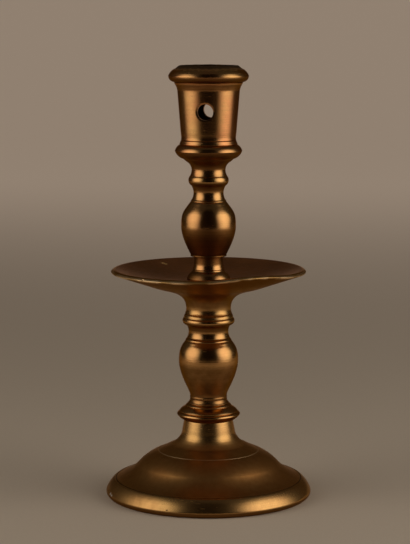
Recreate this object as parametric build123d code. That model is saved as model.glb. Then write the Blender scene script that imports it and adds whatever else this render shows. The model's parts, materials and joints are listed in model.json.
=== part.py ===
from build123d import *
import math
import os

# Sizes are in millimetres. Z is the turning axis and points up, and the table is z = 0.
# A bulge share bends a run by that share of its chord: above zero it swells, below zero it hollows.

# Screw threads, right-handed and coarse
thread_r = 5.0
thread_depth = 0.9
thread_pitch = 2.0
thread_root_share = 0.60
thread_crest_share = 0.25
thread_clearance = 0.15
thread_lead = 1.0
thread_sink = 0.2
thread_end_chamfer = 0.6
shank_clearance = 0.3
cut_overrun = 1.0

# Incised lines shared by all the turned pieces
line_w = 0.35
line_depth = 0.22

# Foot: a hollow domed casting, from the table up
foot_r = 52.6
foot_rest_inset = 1.3
rim_round_h = 2.7
rim_round_share = 0.16
rim_top_inset = 3.8
rim_band_h = 5.65
rim_band_share = 0.06
rim_land_w = 1.1
rim_land_h = 0.6
rim_land_share = 0.06
rim_wall = 5.0
foot_cove_r = 36.8
foot_cove_h = 6.5
foot_cove_share = -0.061
dome_top_r = 25.9
dome_h = 7.7
dome_share = 0.062
shoulder_r = 20.0
shoulder_h = 2.8
foot_neck_base_r = 13.8
foot_neck_cove_h = 6.2
foot_neck_cove_share = -0.113
foot_neck_r = 12.4
foot_neck_h = 7.05
foot_wall = 3.2
foot_wall_inset_share = 0.4
nut_seat_margin = 5.5

# Lower stem: knop, baluster, waist and top bead, from the foot's neck up
knop_seat_step = 0.3
knop_r = 16.2
knop_bead_h = 2.95
knop_bead_share = 0.09
knop_edge_step = 1.3
knop_edge_h = 1.3
knop_edge_share = 0.12
knop_top_r = 11.7
knop_top_h = 2.45
knop_top_share = 0.07
knop_fillet_r = 10.45
knop_fillet_h = 1.05
fillet_share = 0.08
lower_cove_r = 9.42
lower_cove_h = 2.0
lower_cove_share = -0.08
lower_ring_h = 1.2
lower_belly_r = 15.2
lower_rise_h = 18.4
lower_rise_lean_share = 0.02
lower_rise_neck_share = 0.135
lower_rise_belly_share = 0.455
lower_shoulder_r = 11.8
lower_shoulder_h = 9.8
lower_shoulder_lean_share = 0.73
lower_shoulder_neck_share = 0.28
lower_shoulder_belly_share = 0.55
lower_fillet_r = 10.85
lower_fillet_h = 1.2
lower_waist_r = 10.75
lower_waist_h = 5.4
lower_waist_share = -0.115
top_bead_under_r = 12.4
top_bead_under_h = 1.35
top_bead_under_share = -0.10
top_bead_r = 12.6
top_bead_h = 3.35
top_bead_share = 0.24

# Drip pan: a hub bead, a trumpet and a wide shallow dish
hub_bead_top_r = 11.95
hub_bead_h = 1.9
hub_bead_share = 0.08
hub_waist_r = 11.42
hub_waist_h = 2.2
hub_waist_share = -0.055
trumpet_r = 27.7
trumpet_h = 11.35
trumpet_waist_share = 0.71
trumpet_mouth_share = 0.56
trumpet_mouth_slope = 0.28
pan_r = 49.6
pan_under_inset = 0.4
pan_under_h = 7.3
pan_edge_h = 0.65
pan_edge_share = 0.15
pan_lip_inset = 2.6
pan_lip_h = 1.15
pan_lip_share = 0.14
pan_lip_w = 1.0
pan_lip_drop = 0.2
dish_floor_margin = 1.0
dish_depth = 5.4
dish_share = -0.034

# Upper stem: collar, neck, baluster, waist and bead, from the dish's floor up
collar_base_r = 10.75
collar_r = 11.0
collar_swell_h = 0.6
collar_swell_share = 0.12
collar_top_r = 8.25
collar_top_h = 3.7
collar_top_share = 0.07
collar_cove_r = 7.95
collar_cove_h = 0.7
collar_cove_share = -0.10
upper_neck_r = 7.35
upper_neck_h = 6.4
upper_neck_share = -0.05
neck_ring_r = 9.15
neck_ring_step_h = 0.25
neck_ring_h = 0.6
upper_belly_r = 13.93
upper_rise_h = 14.9
upper_rise_lean_share = 0.54
upper_rise_neck_share = 0.60
upper_rise_belly_share = 0.13
upper_shoulder_r = 9.05
upper_shoulder_h = 11.85
upper_shoulder_lean_share = 0.78
upper_shoulder_neck_share = 0.42
upper_shoulder_belly_share = 0.49
upper_fillet_r = 8.6
upper_fillet_h = 0.6
upper_waist_r = 8.75
upper_waist_h = 7.2
upper_waist_share = -0.145
upper_bead_r = 9.4
upper_bead_h = 4.9
upper_bead_share = 0.23

# Candle socket: waisted neck, base bead, tapered cup, rim torus and lip
socket_waist_r = 8.6
socket_waist_h = 3.0
socket_waist_share = -0.06
socket_flare_r = 11.0
socket_flare_h = 4.1
socket_flare_share = -0.134
socket_step_r = 12.4
socket_step_h = 1.15
base_bead_under_r = 12.6
base_bead_r = 17.05
base_bead_swell_h = 4.1
base_bead_swell_share = 0.135
base_bead_top_step = 0.75
base_bead_top_h = 3.15
base_bead_top_share = 0.10
cup_fillet_step = 0.1
cup_fillet_h = 1.8
cup_base_wall = 2.1
cup_base_h = 0.45
cup_top_wall = 3.97
cup_h = 23.6
cup_cove_w = 1.38
cup_cove_h = 3.9
cup_cove_share = -0.07
rim_fillet_step = 0.3
rim_fillet_h = 0.6
torus_r = 20.33
torus_under_h = 3.1
torus_under_share = 0.19
torus_top_h = 3.75
torus_top_share = 0.11
lip_slope_w = 1.9
lip_h = 1.6
lip_w = 2.0
mouth_chamfer_w = 1.15
mouth_chamfer_h = 1.5
candle_bore_r = 11.75
candle_bore_depth = 37.0
extraction_hole_r = 4.0
extraction_hole_rise = 14.0

# Riveted tenon that holds the socket on the upper stem, its head flush with the socket's floor
tenon_r = 4.0
tenon_clearance = 0.05
rivet_r = 6.0
rivet_h = 2.0

# Threaded tang of the upper stem, below the drip pan
tang_reach = 13.6
tang_end_gap = 1.0

# Threaded tail of the lower stem, with its washer and square nut in the hollow foot
washer_r = 9.5
washer_h = 1.6
nut_flats = 16.0
nut_h = 6.0
nut_edge_chamfer = 0.8
tail_reach = 2.0

thread_root_r = thread_r - thread_depth
thread_hole_r = thread_r + thread_clearance
shank_hole_r = thread_r + shank_clearance
rim_top_r = foot_r - rim_top_inset
rim_land_r = rim_top_r - rim_land_w
cavity_r = foot_r - rim_wall
nut_seat_r = washer_r + nut_seat_margin
pan_lip_r = pan_r - pan_lip_inset
cup_base_r = candle_bore_r + cup_base_wall
cup_fillet_r = cup_base_r + cup_fillet_step
cup_r = candle_bore_r + cup_top_wall
cup_cove_r = cup_r + cup_cove_w
mouth_r = candle_bore_r + mouth_chamfer_w
lip_r = mouth_r + lip_w


class Outline:
    """Half the outline of a turned piece, drawn run by run in the plane of radius and height."""

    def __init__(self, r, z):
        self.start = Vector(r, 0, z)
        self.at = self.start
        self.edges = []

    @property
    def r(self):
        return self.at.X

    @property
    def z(self):
        return self.at.Z

    def to(self, r, rise, share=0):
        """Runs to radius r, rise higher, bent by share of the run's chord."""
        end = Vector(r, 0, self.z + rise)
        chord = end - self.at
        if share == 0:
            self.edges.append(Line(self.at, end))
        else:
            outward = Vector(chord.Z, 0, -chord.X)
            self.edges.append(ThreePointArc(self.at, (self.at + end) / 2 + outward * share, end))
        self.at = end
        return self

    def line(self):
        """Cuts one incised line, a small V, straight up the side."""
        r = self.r
        self.to(r - line_depth, line_w / 2)
        return self.to(r, line_w / 2)

    def ring(self, r):
        """Cuts one incised ring into a flat slope, in to radius r."""
        middle = (self.r + r) / 2
        self.to(middle, -line_depth)
        return self.to(r, line_depth)

    def swell(self, r, rise, lean_share, neck_share, belly_share):
        """Swells from a leaning neck to an upright belly of radius r."""
        neck = self.at + Vector(lean_share, 0, 1) * (neck_share * rise)
        belly = Vector(r, 0, self.z + rise)
        self.edges.append(Bezier(self.at, neck, belly - Vector(0, 0, belly_share * rise), belly))
        self.at = belly
        return self

    def shrink(self, r, rise, lean_share, neck_share, belly_share):
        """Shrinks from an upright belly to a leaning neck of radius r."""
        end = Vector(r, 0, self.z + rise)
        neck = end - Vector(-lean_share, 0, 1) * (neck_share * rise)
        self.edges.append(Bezier(self.at, self.at + Vector(0, 0, belly_share * rise), neck, end))
        self.at = end
        return self

    def solid(self):
        """Closes the outline along the axis and turns it."""
        top = Vector(0, 0, self.z)
        bottom = Vector(0, 0, self.start.Z)
        closing = [Line(self.at, top), Line(top, bottom), Line(bottom, self.start)]
        return revolve(Face(Wire(self.edges + closing)), Axis.Z)


def rod(r, z_low, z_high):
    """Upright cylinder on the axis between two heights."""
    return Pos(0, 0, z_low) * Cylinder(r, z_high - z_low, align=(Align.CENTER, Align.CENTER, Align.MIN))


def thread_ridge(wall_r, reach, z_low, z_high, phase_z):
    """Helical ridge on a wall between two heights. It stands out by reach, inwards if below zero."""
    start = z_low + thread_lead
    path = Helix(thread_pitch, z_high - thread_lead - start, wall_r)
    half_root = thread_root_share * thread_pitch / 2
    half_crest = thread_crest_share * thread_pitch / 2
    sink = math.copysign(thread_sink, -reach)
    half_sunk = half_root + (half_root - half_crest) * thread_sink / thread_depth
    section = Plane(path @ 0, x_dir=(1, 0, 0), z_dir=path % 0) * Polygon(
        (sink, -half_sunk), (reach, -half_crest), (reach, half_crest), (sink, half_sunk), align=None
    )
    turn = 360 * (start - phase_z) / thread_pitch
    return Pos(0, 0, start) * Rot(0, 0, turn) * sweep(section, path=path, is_frenet=True)


def threaded_end(z_end, z_plain):
    """Threaded rod that hangs down to z_end, from the plain shank that ends at z_plain."""
    core = rod(thread_root_r, z_end, z_plain)
    core = chamfer(core.edges().sort_by(Axis.Z)[0], thread_end_chamfer)
    return core + thread_ridge(thread_root_r, thread_depth, z_end, z_plain, z_end)


def tapped(block, z_low, z_high, z_male):
    """Taps a hole in the block between two heights, in step with a threaded end that reaches z_male."""
    block = block - rod(thread_hole_r, z_low, z_high)
    return block + thread_ridge(thread_hole_r, -thread_depth, z_low, z_high, z_male + thread_pitch / 2)


# Foot, outside and cavity
foot_outline = Outline(foot_r - foot_rest_inset, 0)
foot_outline.to(foot_r, rim_round_h, rim_round_share)
foot_outline.to(rim_top_r, rim_band_h, rim_band_share)
foot_outline.to(rim_land_r, rim_land_h, rim_land_share)
rim_land_z = foot_outline.z
foot_outline.ring(rim_land_r - line_w)
foot_outline.to(foot_cove_r, foot_cove_h, foot_cove_share)
foot_outline.to(dome_top_r, dome_h, dome_share)
foot_outline.ring(dome_top_r - line_w)
foot_outline.to(shoulder_r, shoulder_h)
foot_outline.to(foot_neck_base_r, foot_neck_cove_h, foot_neck_cove_share)
foot_outline.to(foot_neck_r, foot_neck_h)
foot_top_z = foot_outline.z

wall_inset = foot_wall * foot_wall_inset_share
cavity = Outline(cavity_r, -cut_overrun)
cavity.to(cavity_r, rim_land_z - foot_wall + cut_overrun)
cavity.to(foot_cove_r - wall_inset, foot_cove_h, foot_cove_share)
cavity.to(dome_top_r - wall_inset, dome_h, dome_share)
cavity.to(nut_seat_r, shoulder_h)
nut_seat_z = cavity.z

foot = foot_outline.solid() - cavity.solid()
foot -= rod(shank_hole_r, nut_seat_z - cut_overrun, foot_top_z + cut_overrun)

# Lower stem, outside
lower = Outline(foot_neck_r + knop_seat_step, foot_top_z)
lower.to(knop_r, knop_bead_h, knop_bead_share)
lower.to(knop_r - knop_edge_step, knop_edge_h, knop_edge_share)
lower.line()
lower.to(knop_top_r, knop_top_h, knop_top_share)
lower.line()
lower.to(knop_fillet_r, knop_fillet_h, fillet_share)
lower.line()
lower.to(lower_cove_r, lower_cove_h, lower_cove_share)
lower.line()
lower.to(lower_cove_r, lower_ring_h, fillet_share)
lower.line()
lower.swell(
    lower_belly_r, lower_rise_h, lower_rise_lean_share, lower_rise_neck_share, lower_rise_belly_share
)
lower.shrink(
    lower_shoulder_r,
    lower_shoulder_h,
    lower_shoulder_lean_share,
    lower_shoulder_neck_share,
    lower_shoulder_belly_share,
)
lower.line()
lower.to(lower_fillet_r, lower_fillet_h, fillet_share)
lower.line()
lower.to(lower_waist_r, lower_waist_h, lower_waist_share)
lower.to(top_bead_under_r, top_bead_under_h, top_bead_under_share)
lower.to(top_bead_r, top_bead_h, top_bead_share)
pan_seat_z = lower.z

# Lower stem, with its tail through the foot and the tapped hole in its top
nut_top_z = nut_seat_z - washer_h
nut_low_z = nut_top_z - nut_h
tail_end_z = nut_low_z - tail_reach
tang_end_z = pan_seat_z - tang_reach

lower_stem = lower.solid() + rod(thread_r, nut_seat_z, foot_top_z)
lower_stem += threaded_end(tail_end_z, nut_seat_z)
lower_stem = tapped(lower_stem, tang_end_z - tang_end_gap, pan_seat_z, tang_end_z)

# Washer and square nut under the foot
foot_washer = rod(washer_r, nut_top_z, nut_seat_z)
foot_washer -= rod(shank_hole_r, nut_top_z - cut_overrun, nut_seat_z + cut_overrun)

foot_nut = Pos(0, 0, nut_low_z) * Box(
    nut_flats, nut_flats, nut_h, align=(Align.CENTER, Align.CENTER, Align.MIN)
)
foot_nut = chamfer(foot_nut.edges().filter_by(Axis.Z), nut_edge_chamfer)
foot_nut = tapped(foot_nut, nut_low_z, nut_top_z, tail_end_z)

# Drip pan
pan = Outline(top_bead_r, pan_seat_z)
pan.to(hub_bead_top_r, hub_bead_h, hub_bead_share)
pan.line()
pan.to(hub_waist_r, hub_waist_h, hub_waist_share)
mouth_way = Vector(1, 0, trumpet_mouth_slope).normalized()
trumpet_mouth = Vector(trumpet_r, 0, pan.z + trumpet_h)
pan.edges.append(
    Bezier(
        pan.at,
        pan.at + Vector(0, 0, trumpet_waist_share * trumpet_h),
        trumpet_mouth - mouth_way * (trumpet_mouth_share * (trumpet_r - hub_waist_r)),
        trumpet_mouth,
    )
)
pan.at = trumpet_mouth
pan.to(pan_r - pan_under_inset, pan_under_h)
pan.to(pan_r, pan_edge_h, pan_edge_share)
pan.to(pan_lip_r, pan_lip_h, pan_lip_share)
pan.to(pan_lip_r - pan_lip_w, -pan_lip_drop)
pan.to(collar_r + dish_floor_margin, pan_lip_drop - dish_depth, dish_share)
dish_floor_z = pan.z

drip_pan = pan.solid() - rod(shank_hole_r, pan_seat_z - cut_overrun, dish_floor_z + cut_overrun)

# Upper stem, outside
upper = Outline(collar_base_r, dish_floor_z)
upper.to(collar_r, collar_swell_h, collar_swell_share)
upper.to(collar_top_r, collar_top_h, collar_top_share)
upper.to(collar_cove_r, collar_cove_h, collar_cove_share)
upper.line()
upper.to(upper_neck_r, upper_neck_h, upper_neck_share)
upper.to(neck_ring_r, neck_ring_step_h)
upper.to(neck_ring_r, neck_ring_h, fillet_share)
upper.line()
upper.swell(
    upper_belly_r, upper_rise_h, upper_rise_lean_share, upper_rise_neck_share, upper_rise_belly_share
)
upper.shrink(
    upper_shoulder_r,
    upper_shoulder_h,
    upper_shoulder_lean_share,
    upper_shoulder_neck_share,
    upper_shoulder_belly_share,
)
upper.line()
upper.to(upper_fillet_r, upper_fillet_h, fillet_share)
upper.to(upper_waist_r, upper_waist_h, upper_waist_share)
upper.to(upper_bead_r, upper_bead_h, upper_bead_share)
socket_seat_z = upper.z

# Candle socket, outside
socket = Outline(upper_bead_r, socket_seat_z)
socket.to(socket_waist_r, socket_waist_h, socket_waist_share)
socket.to(socket_flare_r, socket_flare_h, socket_flare_share)
socket.to(socket_step_r, socket_step_h)
socket.to(base_bead_under_r, line_w)
socket.to(base_bead_r, base_bead_swell_h, base_bead_swell_share)
socket.to(cup_fillet_r + base_bead_top_step, base_bead_top_h, base_bead_top_share)
socket.line()
socket.to(cup_fillet_r, cup_fillet_h)
socket.line()
socket.to(cup_base_r, cup_base_h)
socket.to(cup_r, cup_h)
socket.to(cup_cove_r, cup_cove_h, cup_cove_share)
socket.to(cup_cove_r + rim_fillet_step, rim_fillet_h, fillet_share)
socket.line()
socket.to(torus_r, torus_under_h, torus_under_share)
socket.to(lip_r + lip_slope_w, torus_top_h, torus_top_share)
socket.to(lip_r, lip_h)
top_z = socket.z
bore_floor_z = top_z - candle_bore_depth


def rivet(clearance):
    """Countersunk head at the tenon's end, wider by a clearance."""
    head = Outline(tenon_r + clearance, bore_floor_z - rivet_h)
    head.to(rivet_r + clearance, rivet_h)
    return head.solid()


# Candle socket, with its bore, funnel mouth, extraction holes and tenon hole
mouth = Outline(candle_bore_r, bore_floor_z)
mouth.to(candle_bore_r, candle_bore_depth - mouth_chamfer_h)
mouth.to(mouth_r, mouth_chamfer_h)
mouth.to(mouth_r, cut_overrun)
extraction_hole = Pos(0, 0, bore_floor_z + extraction_hole_rise) * Cylinder(
    extraction_hole_r, 2 * (cup_r + cut_overrun), rotation=(90, 0, 0)
)
candle_socket = socket.solid() - mouth.solid() - extraction_hole
candle_socket -= rod(tenon_r + tenon_clearance, socket_seat_z - cut_overrun, bore_floor_z)
candle_socket -= rivet(tenon_clearance)

# Upper stem, with its threaded tang below and its riveted tenon above
upper_stem = upper.solid() + rod(tenon_r, socket_seat_z, bore_floor_z) + rivet(0)
upper_stem += rod(thread_r, pan_seat_z, dish_floor_z)
upper_stem += threaded_end(tang_end_z, pan_seat_z)

pieces = {
    "foot": foot,
    "lower_stem": lower_stem,
    "foot_washer": foot_washer,
    "foot_nut": foot_nut,
    "drip_pan": drip_pan,
    "upper_stem": upper_stem,
    "candle_socket": candle_socket,
}
os.makedirs("parts", exist_ok=True)
for name, piece in pieces.items():
    export_step(piece, f"parts/{name}.step")
print("height", round(top_z, 3), "pan seat", round(pan_seat_z, 3), "dish floor", round(dish_floor_z, 3))
print("socket seat", round(socket_seat_z, 3), "bore floor", round(bore_floor_z, 3))
print("foot top", round(foot_top_z, 3), "nut seat", round(nut_seat_z, 3), "tail end", round(tail_end_z, 3))
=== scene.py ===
"""Looks of a turned brass candlestick with a drip pan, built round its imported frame."""

import functools
import json
import math

import bpy
import numpy as np
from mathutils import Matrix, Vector

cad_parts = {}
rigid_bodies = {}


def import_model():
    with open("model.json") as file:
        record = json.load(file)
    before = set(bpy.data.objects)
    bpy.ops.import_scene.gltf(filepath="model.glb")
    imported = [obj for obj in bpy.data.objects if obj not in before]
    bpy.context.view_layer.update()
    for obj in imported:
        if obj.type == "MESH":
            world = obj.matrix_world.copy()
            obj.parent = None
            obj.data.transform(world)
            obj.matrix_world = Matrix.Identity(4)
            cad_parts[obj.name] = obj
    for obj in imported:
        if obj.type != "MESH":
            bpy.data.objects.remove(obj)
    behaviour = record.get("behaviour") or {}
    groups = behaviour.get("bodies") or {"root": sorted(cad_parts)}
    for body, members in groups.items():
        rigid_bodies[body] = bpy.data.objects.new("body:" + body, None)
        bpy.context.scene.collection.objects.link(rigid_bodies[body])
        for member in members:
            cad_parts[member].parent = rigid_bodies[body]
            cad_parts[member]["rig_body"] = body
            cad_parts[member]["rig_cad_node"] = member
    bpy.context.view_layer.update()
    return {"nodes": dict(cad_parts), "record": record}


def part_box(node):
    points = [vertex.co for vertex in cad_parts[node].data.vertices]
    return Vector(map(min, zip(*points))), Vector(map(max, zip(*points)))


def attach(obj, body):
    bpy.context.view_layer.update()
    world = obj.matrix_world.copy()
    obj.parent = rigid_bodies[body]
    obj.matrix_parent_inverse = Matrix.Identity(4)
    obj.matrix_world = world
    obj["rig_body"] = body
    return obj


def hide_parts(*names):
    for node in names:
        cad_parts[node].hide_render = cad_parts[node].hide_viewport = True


bl_info = {
    "name": "Turned Brass Candlestick",
    "version": (1, 0, 0),
    "blender": (4, 5, 0),
    "location": "3D View > Sidebar > Candlestick",
    "description": "Turns, wears and finishes the pieces of a brass candlestick and sets its stage",
    "category": "Object",
}

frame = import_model()

# Modelling tolerances, and angles past which an edge stays crisp
MERGE = 1e-6
CUT = 1e-7
FULL_TURN = 2 * math.pi
CUT_CRISP = math.radians(50)
THREAD_CRISP = math.radians(30)

# Outlines: a level run this wide is a seat, and a worn corner needs room for its round
SEAT_WIDTH = 0.0015
CORNER_SEGMENTS = 3
CORNER_ROOM = 2.2

# Socket: its worn holes, bore, uneven lip and soot
HOLE_R = 0.004
HOLE_FACES = 96
HOLE_WEAR = 0.0009
HOLE_SINK = 0.00025
CUP_R = 0.0128
BORE_EDGE_R = 0.0130
BORE_OUTWARD = 0.0001
LIP_WEAR = 0.0022
LIP_SINK = 0.0004
LIP_DENT = 0.006
SOOT_FROM = 0.2186
SOOT_RAGGED = 0.0024
SOOT_FADE = 0.0016

# Drip pan: its bright rim, dull dish, bent edge and nick
PAN_RIM_R = 0.0488
PAN_RIM_Z = 0.1150
DISH_OUTWARD = 0.0005
DISH_UP = 0.2
BEND_FROM_R = 0.024
BEND_TOWARDS = math.radians(35)
BEND_WIDTH = math.radians(24)
BEND_RISE = 0.0019
BEND_LEAST = 0.001
PAN_NICK = ((-0.0279, -0.0412, 0.1165), 0.0009)

# Foot: its faces that look in or down are left rough from the casting
CAST_UP = 0.5
CAST_DOWN = -0.9

# Small marks, each a middle and a radius
FOOT_CHIPS = (((-0.0476, -0.0215, 0.0036), 0.0008), ((-0.0467, -0.0239, 0.0032), 0.0007))
FOOT_PITS = (((-0.0146, -0.0503, 0.0032), 0.0005), ((0.0002, -0.0495, 0.0077), 0.0004))
DISH_MARKS = (((-0.0279, 0.0304, 0.1155), 0.0012), ((-0.0262, 0.0296, 0.1151), 0.0012))

# Radii on the foot between which its film, painted-highlight ring and dirty ring begin and end
FILM_INNER = (0.0128, 0.0190)
FILM_OUTER = (0.0475, 0.0472)
HIGHLIGHT_RING_INNER = (0.02530, 0.02545)
HIGHLIGHT_RING_OUTER = (0.02605, 0.02590)
GROOVE_INNER = (0.04725, 0.04740)
GROOVE_OUTER = (0.04790, 0.04770)

# Tints of a metal's grazing reflections
EDGE_TINT = (0.7, 0.5, 0.32, 1.0)
FOOT_TINT = (0.88, 0.68, 0.48, 1.0)
DISH_TINT = (1.0, 0.9, 0.8, 1.0)

# Heights of the fine relief
BRASS_RELIEF = 0.00002
DISH_RELIEF = 0.00003
BORE_RELIEF = 0.00005
IRON_RELIEF = 0.00006
CAST_RELIEF = 0.00012

# Grime and painted shade in recesses, and painted shade on undersides
ROW_HEIGHT = 0.0002
RECESS_REACH = 0.0025
RECESS_DEPTH = 0.0016
INNER_WALL = 0.001
UNDERSIDE_FROM = 0.05
UNDERSIDE_SHADE = 2.8

# Bands that darken, mostly painted shade, each a bottom, a top, the width of its soft edge, an
# amount and a side; a LEFT band darkens only the left side
ALL_ROUND = (0.0, 0.0)
LEFT = (-0.94, -0.34)
FOOT_BANDS = (
    (0.0020, 0.0090, 0.0010, 0.62, LEFT),
    (-0.001, 0.0023, 0.0008, 1.0, ALL_ROUND),
)
LOWER_BANDS = ((0.0500, 0.0695, 0.0050, 0.72, ALL_ROUND),)
PAN_BANDS = ((0.0975, 0.1120, 0.0040, 0.70, ALL_ROUND),)
UPPER_BANDS = (
    (0.1110, 0.1160, 0.0012, 0.40, ALL_ROUND),
    (0.1110, 0.1168, 0.0012, 0.90, LEFT),
    (0.1192, 0.1250, 0.0016, 0.90, ALL_ROUND),
    (0.1240, 0.1390, 0.0050, 0.95, ALL_ROUND),
)
SOCKET_BANDS = (
    (0.2083, 0.2104, 0.0008, 0.70, ALL_ROUND),
    (0.2104, 0.2113, 0.0003, 0.05, ALL_ROUND),
)

# Floor and the wall that it curves up into, and where the wall's glow begins and ends
FLOOR_SIZE = 8
FLOOR_DROP = 0.0002
WALL_HEIGHT = 5
WALL_CURVE = 1.5
WALL_SEGMENTS = 24
GLOW_BACK = (0.1, 1.9)
GLOW_SIDE = (0.55, 0.85)
GLOW_TOP = (0.5, 1.0)

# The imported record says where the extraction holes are
HOLE_BOX = next(
    opening["box_m"]
    for opening in frame["record"]["physics"]["openings"]
    if opening["name"] == "extraction_holes"
)


def colour_setting(name, description, default):
    """A colour that a user can change."""
    return bpy.props.FloatVectorProperty(
        name=name, description=description, default=default, subtype="COLOR", size=3
    )


def length_setting(name, description, default):
    """A length that a user can change."""
    return bpy.props.FloatProperty(
        name=name, description=description, default=default, unit="LENGTH", precision=5
    )


def angle_setting(name, description, default):
    """An angle that a user can change."""
    return bpy.props.FloatProperty(
        name=name, description=description, default=default, subtype="ANGLE"
    )


def sheet_setting(name, description, default):
    """A width and height that a user can change."""
    return bpy.props.FloatVectorProperty(
        name=name, description=description, default=default, unit="LENGTH", size=2
    )


class TurningSettings(bpy.types.PropertyGroup):
    """How finely the pieces are turned and how soft their edges are."""

    steps: bpy.props.IntProperty(
        name="Steps",
        description="Faces round one turn",
        default=192,
        min=24,
    )
    curve_points: bpy.props.IntProperty(
        name="Curve points",
        description="Points laid along each stretch of an outline",
        default=4,
        min=1,
    )
    corner: angle_setting(
        "Corner",
        "An outline that turns by more than this has a corner there",
        math.radians(45.5),
    )
    soft_corner: angle_setting(
        "Soft corner",
        "A corner that turns by more than this is worn round",
        math.radians(13),
    )
    edge_round: length_setting("Edge round", "How far an edge is worn back from its corner", 0.0001)
    core_r: length_setting(
        "Core radius",
        "The lower stem is solid inside this radius, where its screw hole is out of sight",
        0.006,
    )
    collar_seat: length_setting(
        "Collar seat",
        "Height of the dish's floor, where the upper stem's collar sits",
        0.1116,
    )


class BrassSettings(bpy.types.PropertyGroup):
    """Colours and polish of the brass and the iron."""

    gold: colour_setting("Gold", "Brass where it is cleanest", (0.61, 0.37, 0.13))
    rose: colour_setting("Rose", "Brass with a copper tinge", (0.61, 0.265, 0.105))
    tarnish: colour_setting("Tarnish", "Brown tarnish", (0.15, 0.062, 0.015))
    amber: colour_setting("Amber", "Brass under a thin brown film", (0.54, 0.28, 0.09))
    umber: colour_setting("Umber", "Brass under a thicker brown film", (0.36, 0.155, 0.042))
    soot: colour_setting("Soot", "Soot and burnt wax at the mouth", (0.022, 0.012, 0.006))
    # Bare also paints a highlight on the foot's upper ring.
    bare: colour_setting("Bare", "Pale brass where an edge is worn bare", (0.82, 0.58, 0.32))
    lime: colour_setting("Lime", "Pale crust in a few chips of the foot", (0.55, 0.5, 0.43))
    iron: colour_setting("Iron", "Dark iron of the nut and the washer", (0.075, 0.066, 0.06))
    rust: colour_setting("Rust", "Rust on the nut and the washer", (0.11, 0.042, 0.016))
    polish: bpy.props.FloatProperty(
        name="Polish",
        description="Roughness of polished brass",
        default=0.17,
        min=0.0,
        max=1.0,
        subtype="FACTOR",
    )


class StageSettings(bpy.types.PropertyGroup):
    """Camera, lamps and floor."""

    lens: bpy.props.FloatProperty(
        name="Lens",
        description="Focal length on a sensor 36 mm long, in millimetres",
        default=132.35,
    )
    distance: length_setting("Distance", "From the camera to the point it looks at", 1.018)
    pitch: angle_setting("Pitch", "How far the camera looks down", math.radians(7.6))
    azimuth: angle_setting(
        "Azimuth",
        "How far round the camera stands from the front",
        math.radians(7),
    )
    aim: bpy.props.FloatVectorProperty(
        name="Aim",
        description="Point at the middle of the picture",
        default=(-0.00179, -0.00019, 0.1152),
        size=3,
        subtype="XYZ",
        unit="LENGTH",
    )
    softbox_turn: angle_setting(
        "Softbox turn",
        "How far round from the camera each softbox stands",
        math.radians(72),
    )
    softbox_distance: length_setting("Softbox distance", "From the axis to each softbox", 0.75)
    softbox_size: sheet_setting("Softbox size", "Width and height of each softbox", (1.37, 1.66))
    softbox_height: length_setting(
        "Softbox height",
        "Height of the middle of each softbox, whose lower part the floor hides",
        0.42,
    )
    softbox_power: bpy.props.FloatProperty(
        name="Softbox power",
        description="Power of each softbox, in watts",
        default=8.4,
        unit="POWER",
    )
    softbox_balance: bpy.props.FloatProperty(
        name="Softbox balance",
        description="Share by which the right softbox is stronger and the left one weaker",
        default=0.1,
        subtype="FACTOR",
    )
    lamp_colour: colour_setting("Lamp colour", "Colour of the softboxes' light", (1.0, 0.92, 0.82))
    room: colour_setting("Room", "Dim light of the room", (0.045, 0.04, 0.034))
    floor_colour: colour_setting("Floor", "Colour of the floor and backdrop", (0.80, 0.68, 0.55))
    backdrop_glow: colour_setting(
        "Backdrop glow",
        "Brightness that the backdrop keeps where the softboxes do not reach it",
        (0.235, 0.183, 0.14),
    )
    flag_distance: length_setting(
        "Flag distance",
        "From the axis to the dark flag on the camera's side, which only reflections show",
        0.52,
    )
    flag_size: sheet_setting("Flag size", "Width and height of the dark flag", (0.72, 1.3))


def only(piece):
    """Makes one object the only selected and the active one."""
    bpy.ops.object.select_all(action="DESELECT")
    piece.select_set(True)
    bpy.context.view_layer.objects.active = piece


def points_of(mesh):
    """Places of a mesh's vertices, one row each."""
    flat = np.empty(len(mesh.vertices) * 3)
    mesh.vertices.foreach_get("co", flat)
    return flat.reshape(-1, 3)


def pick(mesh, chosen):
    """Selects vertices by a true or false for each, and nothing else."""
    mesh.vertices.foreach_set("select", np.asarray(chosen, bool))
    mesh.edges.foreach_set("select", np.zeros(len(mesh.edges), bool))
    mesh.polygons.foreach_set("select", np.zeros(len(mesh.polygons), bool))


def node_copy(node, name):
    """A merged copy of a CAD node's mesh, in edit mode and free of its body."""
    only(frame["nodes"][node])
    bpy.ops.object.duplicate()
    piece = bpy.context.object
    bpy.ops.object.parent_clear(type="CLEAR_KEEP_TRANSFORM")
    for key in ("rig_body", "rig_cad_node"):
        del piece[key]
    piece.name = piece.data.name = name
    piece.data.materials.clear()
    bpy.ops.object.mode_set(mode="EDIT")
    bpy.ops.mesh.select_mode(type="VERT")
    bpy.ops.mesh.select_all(action="SELECT")
    bpy.ops.mesh.remove_doubles(threshold=MERGE)
    bpy.ops.mesh.select_all(action="SELECT")
    return piece


def half_outline(node, name, keep):
    """The outline of a turned node on one side of the axis, where keep(radius, height) is true."""
    piece = node_copy(node, name)
    centre = (0, 0, 0)
    bpy.ops.mesh.bisect(
        plane_co=centre, plane_no=(0, 1, 0), clear_inner=True, clear_outer=True, threshold=CUT
    )
    bpy.ops.mesh.select_all(action="SELECT")
    bpy.ops.mesh.bisect(plane_co=centre, plane_no=(1, 0, 0), clear_inner=True, threshold=CUT)
    bpy.ops.object.mode_set(mode="OBJECT")
    points = points_of(piece.data)
    pick(piece.data, ~keep(points[:, 0], points[:, 2]))
    bpy.ops.object.mode_set(mode="EDIT")
    bpy.ops.mesh.delete(type="VERT")
    bpy.ops.object.mode_set(mode="OBJECT")
    close_on_axis(piece)
    return piece


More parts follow.
